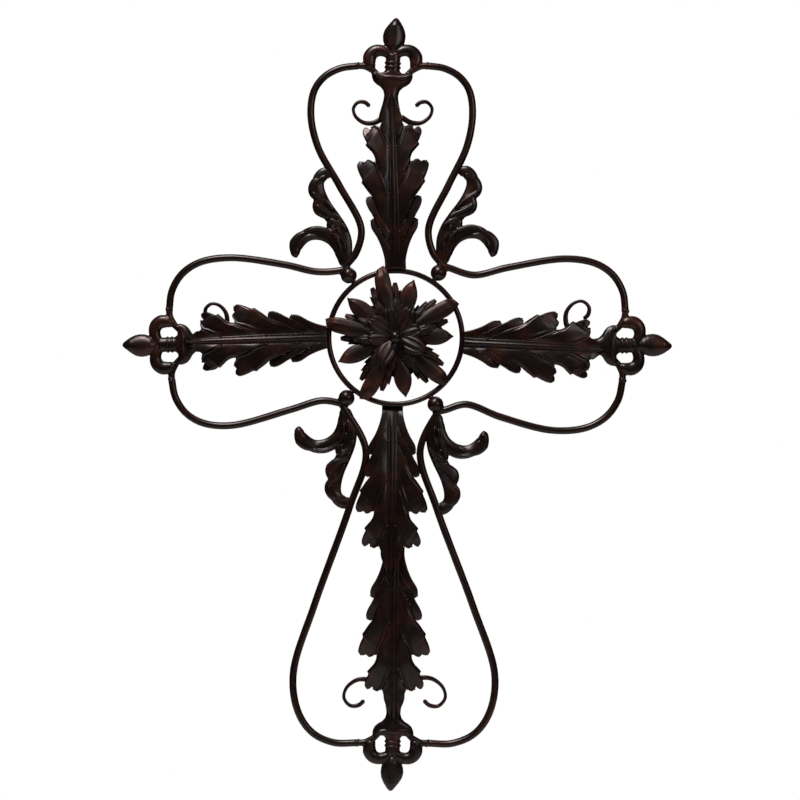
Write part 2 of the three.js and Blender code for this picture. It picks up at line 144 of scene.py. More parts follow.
def addNode(tree, kind, settings={}, links={}):
    node = tree.nodes.new(kind)
    for name, value in settings.items():
        if name in node.inputs:
            node.inputs[name].default_value = value
        else:
            setattr(node, name, value)
    for name, source in links.items():
        tree.links.new(source, node.inputs[name])
    return node


paint = {
    "dark": "#080605",  # black base coat left in the hollows
    "brown": "#110a09",  # brown coat over most of the iron
    "rubbed": "#5c2d1e",  # reddish bronze rubbed on by hand
    "rubPatch": 26,  # size of a rubbed patch
    "brushGrain": 4,  # streaks of the rubbing cloth
    "grit": 1.2,  # grit of the sprayed coat, drawn coarser than the real 0.1 so that it shows
    "metallic": 0.35,
    "crestWear": 0.25,  # bronze added on raised edges
    "lacquer": 0.3,
    "petalLacquer": 0.1,  # thinner on the petals, so that they shine less
}


# Oil-rubbed bronze paint on iron: a black coat with bronze rubbed over the raised parts, under satin
# lacquer. It looks nearly black in the hollows and warm brown on the crests, with soft highlights. Tips
# is how much more bronze lies on the petals' ends, far from the middle of the rose.
def oilRubbedPaint(name, rub, gritDepth, roughness, tips=0):
    material = bpy.data.materials.new(name)
    material.use_nodes = True
    tree = material.node_tree
    tree.nodes.clear()
    place = addNode(tree, "ShaderNodeTexCoord").outputs["Object"]
    patches = addNode(tree, "ShaderNodeTexNoise", {"Scale": 1000 / paint["rubPatch"], "Detail": 3.0,
                                                   "Roughness": 0.6}, {"Vector": place})
    streaks = addNode(tree, "ShaderNodeTexNoise", {"Scale": 1000 / paint["brushGrain"], "Detail": 2.0},
                      {"Vector": place})
    grit = addNode(tree, "ShaderNodeTexNoise", {"Scale": 1000 / paint["grit"], "Detail": 2.0},
                   {"Vector": place})
    crest = addNode(tree, "ShaderNodeNewGeometry").outputs["Pointiness"]
    raised = addNode(tree, "ShaderNodeMapRange", {"From Min": 0.46, "From Max": 0.57}, {"Value": crest})
    rubbed = addNode(tree, "ShaderNodeMapRange", {"From Min": 0.46, "From Max": 0.72, "To Max": rub},
                     {"Value": patches.outputs["Fac"]})
    worn = addNode(tree, "ShaderNodeMath", {"operation": "MULTIPLY_ADD"})
    tree.links.new(raised.outputs["Result"], worn.inputs[0])
    worn.inputs[1].default_value = paint["crestWear"]
    tree.links.new(rubbed.outputs["Result"], worn.inputs[2])
    amount = worn.outputs[0]
    if tips:
        away = addNode(tree, "ShaderNodeVectorMath", {"operation": "DISTANCE"}, {"Vector": place})
        away.inputs[1].default_value = ringMiddle * mmToM
        ends = addNode(tree, "ShaderNodeMapRange", {"From Min": 0.046, "From Max": 0.084, "To Max": tips},
                       {"Value": away.outputs["Value"]})
        patchy = addNode(tree, "ShaderNodeMapRange", {"From Min": 0.42, "From Max": 0.6, "To Min": 0.2},
                         {"Value": patches.outputs["Fac"]})
        total = addNode(tree, "ShaderNodeMath", {"operation": "MULTIPLY_ADD"})
        tree.links.new(ends.outputs["Result"], total.inputs[0])
        tree.links.new(patchy.outputs["Result"], total.inputs[1])
        tree.links.new(amount, total.inputs[2])
        amount = total.outputs[0]
    uneven = addNode(tree, "ShaderNodeMapRange", {"From Min": 0.3, "From Max": 0.6, "To Min": 0.75},
                     {"Value": streaks.outputs["Fac"]})
    broken = addNode(tree, "ShaderNodeMath", {"operation": "MULTIPLY", "use_clamp": True})
    tree.links.new(amount, broken.inputs[0])
    tree.links.new(uneven.outputs["Result"], broken.inputs[1])
    base = addNode(tree, "ShaderNodeMix", {"data_type": "RGBA"})
    base.inputs[6].default_value = linear(paint["dark"])
    base.inputs[7].default_value = linear(paint["brown"])
    tree.links.new(raised.outputs["Result"], base.inputs["Factor"])
    colour = addNode(tree, "ShaderNodeMix", {"data_type": "RGBA"})
    colour.inputs[7].default_value = linear(paint["rubbed"])
    tree.links.new(base.outputs[2], colour.inputs[6])
    tree.links.new(broken.outputs[0], colour.inputs["Factor"])
    bump = addNode(tree, "ShaderNodeBump", {"Strength": 0.25, "Distance": gritDepth * mmToM},
                   {"Height": grit.outputs["Fac"]})
    shader = addNode(tree, "ShaderNodeBsdfPrincipled",
                     {"Metallic": paint["metallic"], "Roughness": roughness,
                      "Coat Weight": paint["petalLacquer" if tips else "lacquer"], "Coat Roughness": 0.3},
                     {"Base Color": colour.outputs[2], "Normal": bump.outputs["Normal"]})
    addNode(tree, "ShaderNodeOutputMaterial", {}, {"Surface": shader.outputs["BSDF"]})
    return material


barPaint = oilRubbedPaint("oil rubbed paint on mild steel bar", 0.35, 0.03, 0.3)
ballPaint = oilRubbedPaint("oil rubbed paint on steel ball", 0.75, 0.03, 0.28)
castPaint = oilRubbedPaint("oil rubbed paint on cast iron", 0.55, 0.1, 0.34)
leafPaint = oilRubbedPaint("oil rubbed paint on pressed steel sheet", 0.5, 0.05, 0.33)
petalPaint = oilRubbedPaint("oil rubbed paint on pressed petals", 0.35, 0.05, 0.44, 1.3)


def finishPiece(name, form, material, node=None):
    bmesh.ops.scale(form, vec=(mmToM, mmToM, mmToM), verts=form.verts)
    mesh = bpy.data.meshes.new(name)
    form.to_mesh(mesh)
    form.free()
    mesh.materials.append(material)
    mesh.polygons.foreach_set("use_smooth", [True] * len(mesh.polygons))
    piece = bpy.data.objects.new(name, mesh)
    bpy.context.scene.collection.objects.link(piece)
    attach(piece, "root")
    if node:
        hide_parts(node)
    return piece


def joined(forms):
    whole = bmesh.new()
    for form in forms:
        part = bpy.data.meshes.new("part")
        form.to_mesh(part)
        form.free()
        whole.from_mesh(part)
        bpy.data.meshes.remove(part)
    return whole


def placed(form, place):
    bmesh.ops.transform(form, matrix=place, verts=form.verts)
    if place.determinant() < 0:
        bmesh.ops.reverse_faces(form, faces=form.faces)
    return form


# Closed form of oval sections along a flat route. sizeAt gives half the width and half the depth.
def sweptForm(route, sizeAt, sides=20):
    form = bmesh.new()
    bmesh.ops.create_circle(form, cap_ends=True, segments=sides, radius=1)
    face = list(form.faces)[0]
    last = Matrix.Identity(4)
    for i, point in enumerate(route):
        along = (route[min(i + 1, len(route) - 1)] - route[max(i - 1, 0)]).normalized()
        across = Vector((-along.z, 0, along.x))
        half, depth = sizeAt(i / (len(route) - 1))
        place = Matrix.Identity(4)
        for row in range(3):
            place[row][0] = across[row] * half
            place[row][1] = (0, -1, 0)[row] * depth
            place[row][2] = along[row]
            place[row][3] = point[row]
        if i:
            made = bmesh.ops.extrude_face_region(form, geom=[face])["geom"]
            if i > 1:
                bmesh.ops.delete(form, geom=[face], context="FACES_ONLY")
            face = next(part for part in made if isinstance(part, bmesh.types.BMFace))
        bmesh.ops.transform(form, matrix=place @ last.inverted(), verts=face.verts)
        last = place
    bmesh.ops.recalc_face_normals(form, faces=form.faces)
    return form


def rounded(share, ends=0.04):
    near = min(share, 1 - share) / ends
    return math.sqrt(max(0.004, 1 - (1 - min(1, near)) ** 2))


# Closed form turned about the z axis from a profile of [radius, height], flattened past a depth
def turnedForm(profile, depth, sides=48):
    form = bmesh.new()
    verts = [form.verts.new((r, 0, z)) for r, z in profile]
    edges = [form.edges.new(pair) for pair in zip(verts, verts[1:])]
    bmesh.ops.spin(form, geom=verts + edges, axis=(0, 0, 1), cent=(0, 0, 0), steps=sides,
                   angle=2 * math.pi, use_merge=True)
    bmesh.ops.remove_doubles(form, verts=form.verts, dist=0.01)
    bmesh.ops.recalc_face_normals(form, faces=form.faces)
    for vert in form.verts:
        radius = math.hypot(vert.co.x, vert.co.y)
        if radius > depth:
            vert.co.y *= depth / radius
    return form


# Sheet patch whose point at shares u and v is given by a function
def sheetPatch(rows, columns, pointAt):
    form = bmesh.new()
    bmesh.ops.create_grid(form, x_segments=rows, y_segments=columns, size=0.5)
    for vert in form.verts:
        vert.co = pointAt(vert.co.x + 0.5, vert.co.y + 0.5)
    form.normal_update()
    if sum(face.normal.y * face.calc_area() for face in form.faces) > 0:
        bmesh.ops.reverse_faces(form, faces=form.faces)
    return form


def thicken(piece, thickness):
    shell = piece.modifiers.new("sheet", "SOLIDIFY")
    shell.thickness = thickness * mmToM
    shell.offset = -1
    return piece


# Overlapping closed forms melted into one casting, with soft joints
def castTogether(forms, voxel, smoothing):
    whole = joined(forms)
    mesh = bpy.data.meshes.new("casting")
    whole.to_mesh(mesh)
    whole.free()
    blank = bpy.data.objects.new("casting", mesh)
    bpy.context.scene.collection.objects.link(blank)
    melt = blank.modifiers.new("melt", "REMESH")
    melt.mode = "VOXEL"
    melt.voxel_size = voxel
    evaluated = blank.evaluated_get(bpy.context.evaluated_depsgraph_get())
    result = bmesh.new()
    result.from_mesh(bpy.data.meshes.new_from_object(evaluated))
    for i in range(smoothing):
        bmesh.ops.smooth_vert(result, verts=result.verts, factor=0.5, use_axis_x=True, use_axis_y=True,
                              use_axis_z=True)
    bpy.data.objects.remove(blank)
    return result


# Ring and rods
bars = {
    "gap": 0.3,
    "rod": 8,
    "coat": 0.25,  # paint and scale on the bar
    "ring": 6.4,
    "ringRadius": 78.8,
    "ball": 19,
    "welds": (1.12, 1.15),  # lumps at a rod's two ends, as shares of the rod
    "steps": 110,
    "hornRise": 15,
    "hornReach": 41,
}
ballDistance = bars["ringRadius"] + bars["ring"] / 2 + bars["gap"] + bars["ball"] / 2
# Each bend is a share of the way from the ring's centre to the rod's top, and how far out it lies.
rods = [
    ("top", "upper_left", [(0.82, 100), (0.7, 91.5), (0.56, 66.5), (0.4, 40.5), (0.31, 47)]),
    ("top", "upper_right", [(0.82, 91), (0.7, 84), (0.56, 62.5), (0.4, 39), (0.31, 44.5)]),
    ("left", "upper_left", [(0.72, 101), (0.48, 90.5), (0.34, 81)]),
    ("left", "lower_left", [(0.74, 97), (0.48, 81), (0.34, 71.5)]),
    ("right", "upper_right", [(0.73, 101), (0.48, 88), (0.33, 77.5)]),
    ("right", "lower_right", [(0.7, 102), (0.47, 88.5), (0.32, 75.5)]),
    ("bottom", "lower_left", [(0.83, 118), (0.66, 93.5), (0.42, 53), (0.28, 34)]),
    ("bottom", "lower_right", [(0.83, 120), (0.66, 93.5), (0.42, 50), (0.28, 30)]),
]


def rodRoute(arm, corner, bends):
    spec = arms[arm]
    angle = spec["angle"]
    cornerAngle = corners[corner]["angle"]
    side = math.copysign(1, math.sin(math.radians(cornerAngle - angle)))
    start = spec["reach"] + bars["hornRise"]
    horn = bars["hornReach"] + side * spec["sway"]
    widestShare, widest = bends[0]
    points = []
    for turn in (0, 22, 45, 68):
        turn = math.radians(turn)
        along = mix(widestShare * start, start, math.cos(turn) ** 0.72)
        along += spec["crest"] * math.sin(2 * turn)
        points.append(onRay(angle, along, side * mix(horn, widest, math.sin(turn))))
    points += [onRay(angle, share * start, side * out) for share, out in bends]
    ballTop = ballDistance + bars["ball"] / 2
    points.append(onRay(cornerAngle, ballTop + 2, -side * bars["rod"] * 0.75))
    points.append(onRay(cornerAngle, ballTop - 1.5, side * bars["rod"] * 0.4))
    return points


# Ball with shallow dents. Wobble is their depth as a share of its size.
def ballForm(size, wobble, seed, detail=4):
    form = bmesh.new()
    bmesh.ops.create_icosphere(form, subdivisions=detail, radius=size / 2)
    for vert in form.verts:
        vert.co *= 1 + wobble * noise.noise(vert.co * 0.25 + Vector((seed, 0, 0)))
    return form


# Lump of weld metal around a joint
def weldForm(point, size, seed):
    return placed(ballForm(size, 0.25, seed), Matrix.Translation(point))


def makeRod(arm, corner, bends):
    half = bars["rod"] / 2 + bars["coat"]
    route = smoothRoute(rodRoute(arm, corner, bends), bars["steps"])
    uneven = [0.12 * noise.noise(point * 0.05) for point in route]
    form = sweptForm(route, lambda share: (half + uneven[round(share * bars["steps"])],) * 2, 16)
    welds = [weldForm(point, bars["rod"] * share, seed)
             for point, share, seed in zip((route[0], route[-1]), bars["welds"], (3, 5))]
    halfName = corner.split("_")[1 if arm in ("top", "bottom") else 0]
    name = f"rod_{arm}_{halfName}"
    form = placed(joined([form] + welds), Matrix.Translation(ringMiddle))
    return finishPiece(name + "_bent", form, barPaint, name)


# The bar's section is stood upright, spun about z, and the ring then turned to face the front
def makeRing():
    quarter = Matrix.Rotation(math.pi / 2, 3, "X")
    form = bmesh.new()
    bmesh.ops.create_circle(form, segments=20, radius=bars["ring"] / 2,
                            matrix=Matrix.Translation((bars["ringRadius"], 0, 0)))
    bmesh.ops.rotate(form, cent=(0, 0, 0), matrix=quarter, verts=form.verts)
    bmesh.ops.spin(form, geom=list(form.verts) + list(form.edges), axis=(0, 0, 1), cent=(0, 0, 0),
                   steps=128, angle=2 * math.pi, use_merge=True)
    bmesh.ops.remove_doubles(form, verts=form.verts, dist=0.01)
    bmesh.ops.rotate(form, cent=(0, 0, 0), matrix=quarter, verts=form.verts)
    bmesh.ops.recalc_face_normals(form, faces=form.faces)
    form = placed(form, Matrix.Translation(ringMiddle))
    return finishPiece("ring_bar", form, barPaint, "ring")


def makeBall(corner):
    angle = corners[corner]["angle"]
    forms = [ballForm(bars["ball"], 0.03, angle),
             weldForm(onRay(angle, -bars["ball"] / 2, 0), bars["ring"], 7)]
    form = placed(joined(forms), Matrix.Translation(ringMiddle + onRay(angle, ballDistance, 0)))
    return finishPiece(f"ball_{corner}_round", form, barPaint, f"ball_{corner}")


makeRing()
for arm, corner, bends in rods:
    makeRod(arm, corner, bends)
for corner in corners:
    makeBall(corner)
print("ring, rods and balls made")


# Tendrils. The route is [along, out] from the arm's yoke, and an arm's curls scale it about the foot. Halves
# are half the strip's width at a share of its length, here and for the castings.
tendril = {
    "foot": -24,
    "halves": [(0, 3.6), (0.25, 3), (0.45, 2.3), (0.6, 1.9), (0.75, 2.1), (0.88, 2.6), (1, 2.5)],
    "depth": 2.6,
    "flat": 0.8,  # share of the depth at which front and back are flattened
    "back": 1.5,
    "route": [(-45, 9), (-52, 22), (-52, 34), (-44.5, 44), (-35, 46.4), (-27.8, 40.5),
              (-28.2, 32.5), (-33, 27)],
}


def makeTendril(arm, side):
    spec = arms[arm]
    curl = spec["curls"][0 if side < 0 else 1]
    route = [(side * out * curl - spec["sway"], 0, spec["reach"] + mix(tendril["foot"], along, curl))
             for along, out in tendril["route"]]

    def stripAt(share):
        return between(tendril["halves"], share) * rounded(share, 0.012), tendril["depth"]

    form = sweptForm(smoothRoute(route, 60), stripAt, 12)
    thick = tendril["depth"] * tendril["flat"]
    for vert in form.verts:
        vert.co.y = math.copysign(min(abs(vert.co.y), thick), vert.co.y) + tendril["back"]
    name = f"tendril_{arm}_{'a' if side < 0 else 'b'}"
    form = placed(form, armPlace(spec["angle"]))
    return finishPiece(name + "_strip", form, barPaint, name)


for arm in arms:
    makeTendril(arm, -1)
    makeTendril(arm, 1)
print("tendrils made")

# Finials. Heights run from the yoke outwards, and widths from the arm's axis.
finial = {
    "voxel": 0.76,
    "smoothing": 3,
    "depth": 6.5,
    "body": [(0, -50), (13.8, -50), (13.4, -45), (11.8, -38), (10, -31), (8.8, -25), (8.4, -20),
             (9.8, -14.5), (13.6, -10.4), (18, -8), (21.8, -4.6), (23.8, -0.6), (24.6, 3.2), (24, 5.8),
             (21.8, 6.6), (18.6, 5.4), (15, 4.6), (12.4, 5.4), (10.6, 7.2), (8.9, 9), (8.7, 10),
             (8.7, 25), (7, 28), (0, 29)],
    "beads": [13, 18],
    "beadHalf": 9.8,
    "beadRound": 1.6,
    "beadFront": 1.4,  # how far a bead ring stands before the collar
    "lip": [(-23, 5), (-16, 1.4), (-8, 0.2), (0, 0.6), (8, 0.2), (16, 1.4), (23, 5)],
    "bud": [(0, 28), (2.6, 29.6), (5.4, 32), (10.2, 37.6), (13, 43.5), (13.6, 50), (12.4, 56), (9.2, 62),
            (6, 66.3), (3.6, 69.6), (1.6, 71.4), (0, 71.8)],
    "budDepth": 7.9,
    "volute": [(0, 25), (7, 30.6), (15.5, 33.2), (23, 31), (27.2, 25), (27, 18), (23.5, 11.5)],
    "voluteHalf": [(0, 4.5), (0.2, 6.2), (0.45, 7.4), (0.7, 8.1), (0.85, 7.4), (0.95, 5.4), (1, 3.5)],
    "voluteDepth": 6.3,
    "horn": [(9, 1), (16, 4), (24, 10), (33, 14.4), (41.5, 15)],
}


def finialForm(lean):
    body = turnedForm(finial["body"], finial["depth"])
    bud = turnedForm(finial["bud"], finial["budDepth"])
    for vert in bud.verts:
        vert.co.x += 1.4 * ease(50, 71, vert.co.z)
        if vert.co.y < 0:
            vert.co.y -= 0.5 * math.exp(-(vert.co.x / 5) ** 2)
    turn = Matrix.Rotation(math.radians(lean), 4, "Y")
    pivot = Matrix.Translation((0, 0, bars["hornRise"]))
    tilt = pivot @ turn @ pivot.inverted()
    forms = [placed(body, tilt), placed(bud, tilt)]
    halves = finial["voluteHalf"]
    for side in (-1, 1):
        volute = smoothRoute([(side * out, 0, up) for out, up in finial["volute"]], 40)
        forms.append(sweptForm(volute, lambda share: (between(halves, share),
                                                      min(finial["voluteDepth"], between(halves, share)))))
        horn = smoothRoute([(side * out, 0, up) for out, up in finial["horn"]], 24)
        forms.append(sweptForm(horn, lambda share: (mix(2.4, 4, ease(0, 0.55, share)),) * 2))
    lip = smoothRoute([(out, 0, up) for out, up in finial["lip"]], 40)
    lip = sweptForm(lip, lambda share: (2 * rounded(share, 0.15), 1.8 * rounded(share, 0.15)))
    forms.append(placed(lip, tilt @ Matrix.Translation((0, 1 - finial["depth"], 0))))
    casting = castTogether(forms, finial["voxel"], finial["smoothing"])
    half = finial["beadHalf"]
    bead = finial["beadRound"]
    turns = [math.radians(-90 + 22.5 * i) for i in range(9)]
    flatten = Matrix.Diagonal((1, (finial["depth"] + finial["beadFront"]) / half, 1, 1))
    beads = []
    for height in finial["beads"]:
        profile = [(half - bead + bead * math.cos(a), height + bead * math.sin(a)) for a in turns]
        profile = [(0, height - bead)] + profile + [(0, height + bead)]
        beads.append(placed(turnedForm(profile, half), tilt @ flatten))
    return joined([casting] + beads)


for arm, spec in arms.items():
    place = armPlace(spec["angle"]) @ Matrix.Translation((-spec["sway"], 0, spec["reach"]))
    finishPiece(f"finial_{arm}_cast", placed(finialForm(spec["lean"]), place), castPaint,
                f"finial_{arm}")
print("finials made")

# Corner scrolls: one casting, mirrored into each corner. Places run from the ball's centre outwards and
# away from the side arm. Each arm of the casting has a route, halves of its width, half its depth, and how
# far forward it stands.
scroll = {
    "voxel": 0.75,
    "smoothing": 1,
    "forms": [
        {"route": [(4, 10), (4, 27), (4.5, 40), (9, 53), (16, 64), (24.5, 76), (32, 90), (36, 103),
                   (35, 114), (27.5, 120.5), (18.5, 118.5)],
         "halves": [(0, 5), (0.12, 8.4), (0.3, 8.6), (0.5, 9), (0.65, 8), (0.8, 7.2), (0.92, 8), (1, 5)],
         "depth": 4, "forward": 0},
        {"route": [(19, 77), (28, 86), (35.5, 94), (40, 102), (37.5, 109.5), (31, 112)],
         "halves": [(0, 2), (0.3, 6), (0.6, 8.8), (0.85, 7.2), (1, 4)], "depth": 4, "forward": 0.8},
        {"route": [(12, 65), (21, 70.5), (29.5, 74.5), (35, 80.5), (34, 88), (29, 91)],
         "halves": [(0, 2), (0.3, 5.6), (0.6, 8.4), (0.85, 7), (1, 4)], "depth": 4, "forward": 0.8},
        {"route": [(5, 57), (12, 60.5), (18, 62.5), (21.5, 60.5), (20.5, 56), (18, 50)],
         "halves": [(0, 2), (0.35, 4), (0.6, 4.8), (1, 4.4)], "depth": 3.8, "forward": 1.2},
        {"route": [(43, 97.5), (36, 92.5), (29, 88), (22, 81), (17.5, 75)],
         "halves": [(0, 0.8), (0.4, 2.1), (0.8, 2.1), (1, 0.6)], "depth": 2.6, "forward": 4.2},
        {"route": [(38, 82.5), (30, 77), (22, 73), (14, 69), (8, 63)],
         "halves": [(0, 0.8), (0.4, 2.1), (0.8, 2.1), (1, 0.6)], "depth": 2.6, "forward": 4.2},
        {"route": [(22.5, 65.5), (14, 63), (6, 57.5), (2, 52)],
         "halves": [(0, 0.8), (0.4, 2), (0.8, 2), (1, 0.6)], "depth": 2.6, "forward": 4},
        {"route": [(5, 10), (7.5, 25), (13, 36), (22, 45), (34, 50), (46, 49), (56, 42.5), (62.5, 33),
                   (63, 25.5), (61.5, 20.5)],
         "halves": [(0, 5), (0.15, 8.4), (0.35, 8), (0.55, 8.6), (0.7, 7.6), (0.85, 7.6), (0.95, 5.4),
                    (1, 2.6)],
         "depth": 4.2, "forward": 0},
        {"route": [(46, 51), (55, 47.5), (61.5, 40), (63.5, 31.5), (61.5, 23)],
         "halves": [(0, 2), (0.35, 6), (0.6, 7.8), (0.85, 6), (1, 2.6)], "depth": 3.8, "forward": 1.2},
        {"route": [(10, 40), (19, 49.5), (30, 54.5), (42, 55), (52, 50.5)],
         "halves": [(0, 0.8), (0.4, 2.1), (0.8, 2.1), (1, 0.6)], "depth": 2.6, "forward": 4},
        {"route": [(21, 54), (18, 47), (12, 39), (9, 28)],
         "halves": [(0, 0.8), (0.4, 2), (0.8, 1.8), (1, 0.6)], "depth": 2.6, "forward": 4},
        {"route": [(13, 56), (11, 48), (5, 38), (4, 26)],
         "halves": [(0, 0.8), (0.4, 2), (0.8, 1.8), (1, 0.6)], "depth": 2.6, "forward": 4},
        {"route": [(38, 46), (47, 46.5), (54, 41.5), (59, 33)],
         "halves": [(0, 0.8), (0.4, 1.6), (0.8, 1.6), (1, 0.6)], "depth": 2, "forward": 3.4},
        {"route": [(33, 96), (36.5, 105), (34, 113), (27, 118)],
         "halves": [(0, 0.8), (0.4, 1.8), (0.8, 1.8), (1, 0.6)], "depth": 2, "forward": 2.8},
    ],
}


def scrollForms():
    forms = []
    for spec in scroll["forms"]:
        route = smoothRoute([(out, 0, up) for out, up in spec["route"]], 56)
        form = sweptForm(route, lambda share: (between(spec["halves"], share) * rounded(share, 0.05),
                                               spec["depth"] * rounded(share, 0.12)))
        forms.append(placed(form, Matrix.Translation((0, -spec["forward"], 0))))
    return forms


scrollCasting = castTogether(scrollForms(), scroll["voxel"], scroll["smoothing"])
for corner in corners:
    middle = onRay(corners[corner]["angle"], ballDistance, 0)
    lean = Matrix.Rotation(-math.radians(corners[corner]["lean"]), 4, "Y")
    mirror = Matrix.Diagonal((math.copysign(1, middle.x), 1, math.copysign(1, middle.z), 1))
    place = Matrix.Translation(ringMiddle + middle) @ mirror @ lean
    finishPiece(f"scroll_{corner}_cast", placed(scrollCasting.copy(), place), castPaint,
                f"scroll_{corner}")
scrollCasting.free()
print("corner scrolls made")

# Leaves. Each half has lobes from the base to the tip, all as [along, out]. A lobe lies between the crease
# below it and the crease above it. A crease starts beside the rib and ends at the notch. Outer and inner are
# the free edge on each side of the lobe's tip. Base and belly are the half width at the ends and what the
# middle adds, and crown is the fall from the rib to the edge, as a share of that half width.
leaf = {
    "length": 205,
    "sheet": 1.4,
    "rib": 2.6,
    "ribHeight": 1.9,
    "arch": 4,
    "crown": 0.15,
    "puff": 2.6,
    "droop": 3.2,
    "dot": 2.6,  # pearl at the root of a crease
    "sink": 0.8,  # how far rib and lobes lie behind the leaf's main surface
    "rows": 44,
    "columns": 28,
    "strip": [(0, 6.5), (23.6, 5.9), (88, 5.6), (143, 4.6), (195, 2.6), (205, 0.4)],
    "base": 12,
    "belly": 27,
    "tipStart": 167,
    "creases": [
        [(23.6, 5.9), (34, 10), (48, 18), (60.2, 24.2)],
        [(43.7, 6), (52, 10), (68, 18.6), (85.6, 26)],
        [(88, 5.6), (101, 9), (115, 15.5), (126.4, 20.7)],
        [(142.9, 4.7), (152, 7), (161, 11.5), (167.7, 14.2)],
    ],
    "lobes": [
        {"outer": [(0, 12.6), (11, 12.6), (26, 16.2), (37.3, 20.9), (48.4, 27.2), (54, 28.2)],
         "tip": (58, 27.8), "inner": []},
        {"outer": [(65, 26.6), (71, 30.1), (77, 32.5), (81.5, 33.1)], "tip": (84.8, 31.6),
         "inner": [(86.3, 28.6)]},
        {"outer": [(91, 30.1), (98, 34.8), (102.7, 37.8), (104.5, 36.6), (112, 39.6), (119, 41.9),
                   (124, 42.3)],
         "tip": (127.6, 39.5),
         "inner": [(127.4, 35), (125.6, 32.5), (129.2, 30.3), (128.4, 26), (126, 22.6)]},
        {"outer": [(130, 21), (136, 23.5), (141.7, 28.3), (146.4, 31.9), (148.2, 30.3), (153.5, 32.5),
                   (160.6, 34.8), (165, 34.4)],
         "tip": (167.9, 31.9),
         "inner": [(167.2, 28.9), (164, 25.6), (160.4, 22.6), (163.6, 23), (167.3, 24), (169.6, 21.3),
                   (168.8, 17.8), (167, 15.8)]},
        {"outer": [(172, 12.4), (177, 12.4), (183, 10.8), (189, 8.2), (196, 6), (202, 3.4)],
         "tip": (205, 0.4), "inner": []},
    ],
}
ringOuter = bars["ringRadius"] + bars["ring"] / 2
overRing = bars["ring"] / 2 + bars["gap"] + leaf["sheet"]
overCasting = finial["depth"] + bars["gap"] + leaf["sheet"]
ribRoom = 1.6 + leaf["crown"] * 13.2  # rise from a leaf's edge to its rib, at the foot
underRing = -bars["ring"] / 2 - bars["gap"] - ribRoom - 1
overRib = overRing + ribRoom + leaf["arch"] + bars["gap"] + leaf["sheet"]
# Trim is cut off the foot, bow shortens the leaf, shift is how far its foot and tip lie to the left, front
# is how far its foot and tip stand before the bars, and a climb under 1 lifts it sooner.
leaves = {
    "leaf_top": {"arm": "top", "start": ringOuter - 1.5, "trim": 0, "tip": 1, "bow": 1, "shift": (0, 5),
                 "front": (overRing, overCasting), "climb": 1},
    "leaf_left": {"arm": "left", "start": ringOuter - 1.5, "trim": 15, "tip": 0.5, "bow": 0.97,
                  "shift": (-3, -3), "front": (overRing, overCasting), "climb": 1},
    "leaf_right": {"arm": "right", "start": ringOuter - 1.5, "trim": 15, "tip": 0.5, "bow": 0.97,
                   "shift": (-3, -5), "front": (overRing, overCasting), "climb": 1},
    "leaf_bottom_lower": {"arm": "bottom", "start": 247, "trim": 0, "tip": 1, "bow": 1, "shift": (0, 1.5),
                          "front": (overRing, overCasting), "climb": 1},
    "leaf_bottom_upper": {"arm": "bottom", "start": ringOuter - 3.5, "trim": 0, "tip": 1, "bow": 1,
                          "shift": (-3, -3.5), "front": (underRing, overRib), "climb": 0.5},
}


# Place along the arm of a place on the leaf. A tip under 1 is shortened past the last lobe.
def leafRise(spec, along):
    past = max(0, along - leaf["tipStart"])
    return (along - past * (1 - spec["tip"]) - spec["trim"]) * spec["bow"]


# Height of the pressed sheet before its lobes are pressed in
def leafLift(spec, along, out):
    share = min(1, max(0, (along - spec["trim"]) / (leaf["length"] - spec["trim"])))
    lift = mix(spec["front"][0], spec["front"][1], share ** spec["climb"])
    width = leaf["base"] + leaf["belly"] * max(0, math.sin(math.pi * along / leaf["length"]))
    return lift + leaf["arch"] * math.sin(math.pi * share) + leaf["crown"] * (width - out * out / width)


def lobeForm(spec, number, side):
    lobe = leaf["lobes"][number]
    creases = leaf["creases"]
    below = creases[number - 1] if number else []
    above = creases[number] if number < len(creases) else []
    rootAlong = below[0][0] if below else 0
    endAlong = above[0][0] if above else leaf["length"]
    beside = [(along, between(leaf["strip"], along)) for along in
              (mix(rootAlong, endAlong, i / 4) for i in range(4))]
    rows = leaf["rows"]
    outer = below + lobe["outer"] + [lobe["tip"]]
    outer = smoothRoute([(along, out, 0) for along, out in outer], rows)
    inner = beside + above + lobe["inner"][::-1] + [lobe["tip"]]
    inner = smoothRoute([(along, out, 0) for along, out in inner], rows)

    # Each lobe steps up at the crease below it and falls to the one above. On the two widest, lesser steps
    # run in from the notches in the outer and inner edge.
    def pointAt(u, v):
        row = round(u * rows)
        place = outer[row].lerp(inner[row], v)
        along, out = place.x, place.y
        pressed = ease(-0.02, 0.1, v) * (1 - v) ** 0.8
        if number in (2, 3):
            outerNotch = 0.42 * max(0, 1 - u / 0.74)
            innerNotch = 1 - 0.5 * max(0, 1 - u / 0.92)
            for notch, fade in ((outerNotch, ease(0.2, 0.5, u)), (innerNotch, ease(0.4, 0.65, u))):
                step = (1 - v) / max(0.1, 1 - notch) if v > notch else -0.5 * v / max(0.02, notch)
                pressed += 0.4 * fade * step * ease(0, 0.05, abs(v - notch)) * (0 < notch < 1)
        puff = leaf["puff"] * pressed * ease(0, 0.25, u) * (1 - 0.5 * ease(0.88, 1, u))
        droop = leaf["droop"] * ease(0.6, 1, u) ** 1.5
        uneven = 0.5 * noise.noise(Vector((along * 0.06, out * 0.09, number + 7 * side + len(spec["arm"]))))
        lift = leafLift(spec, along, out) + puff - droop + uneven - leaf["sink"]
        return Vector((side * out, -lift, leafRise(spec, along)))

    return sheetPatch(rows, leaf["columns"], pointAt)


